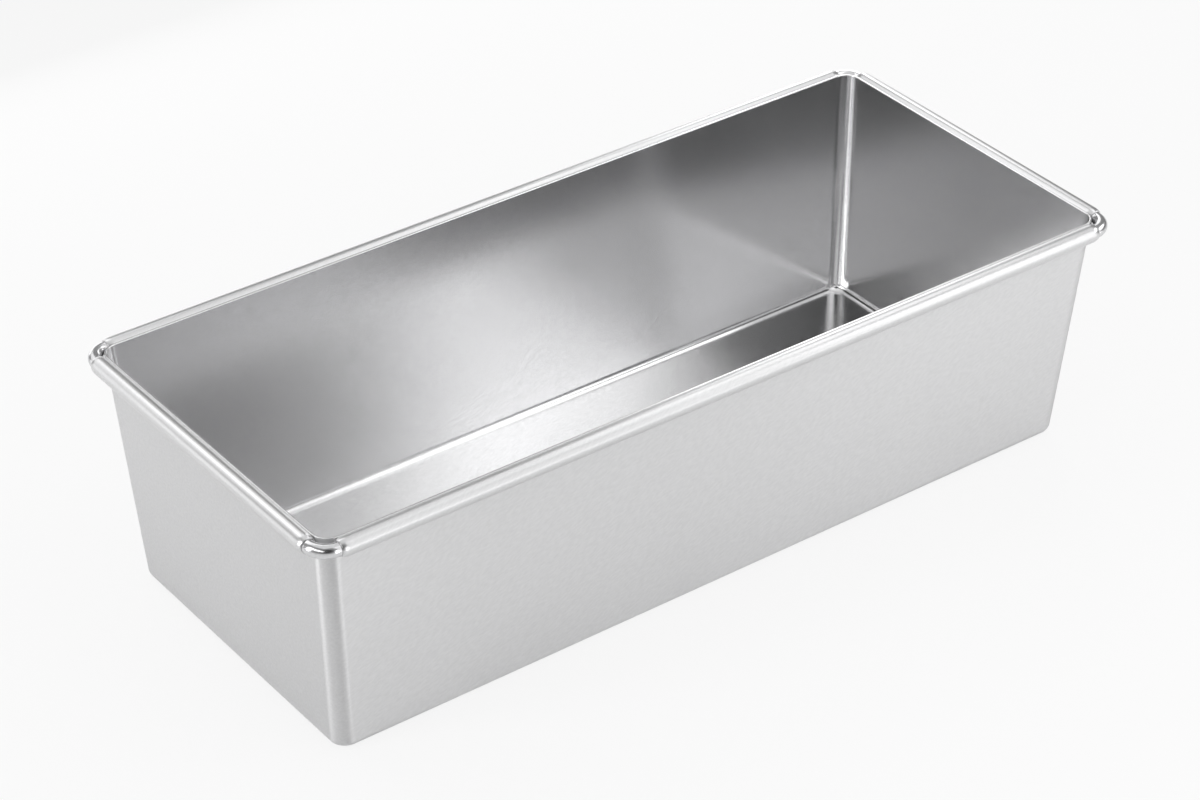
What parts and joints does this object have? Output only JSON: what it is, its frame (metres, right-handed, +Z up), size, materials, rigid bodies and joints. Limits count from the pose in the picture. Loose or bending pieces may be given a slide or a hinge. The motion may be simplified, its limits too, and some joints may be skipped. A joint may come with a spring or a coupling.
{
  "type": "pullman loaf pan",
  "caption": "Long open loaf pan pressed from one sheet, with drafted walls, rounded corners and a rim curled over a stiff wire frame that shows bare at the corners.",
  "frame": {"origin": "centre of the underside, on the surface that the pan stands on", "axes": "+X along the pan's length, +Y across its width, +Z up out of its open top"},
  "size_m": [0.3432, 0.1512, 0.093],
  "materials": {
    "pan_sheet": "satin, finely brushed",
    "rim_wire": "bright drawn"
  },
  "bodies": {
    "root": {"pan_body": "pan_sheet", "rim_wire": "rim_wire"}
  },
  "joints": []
}
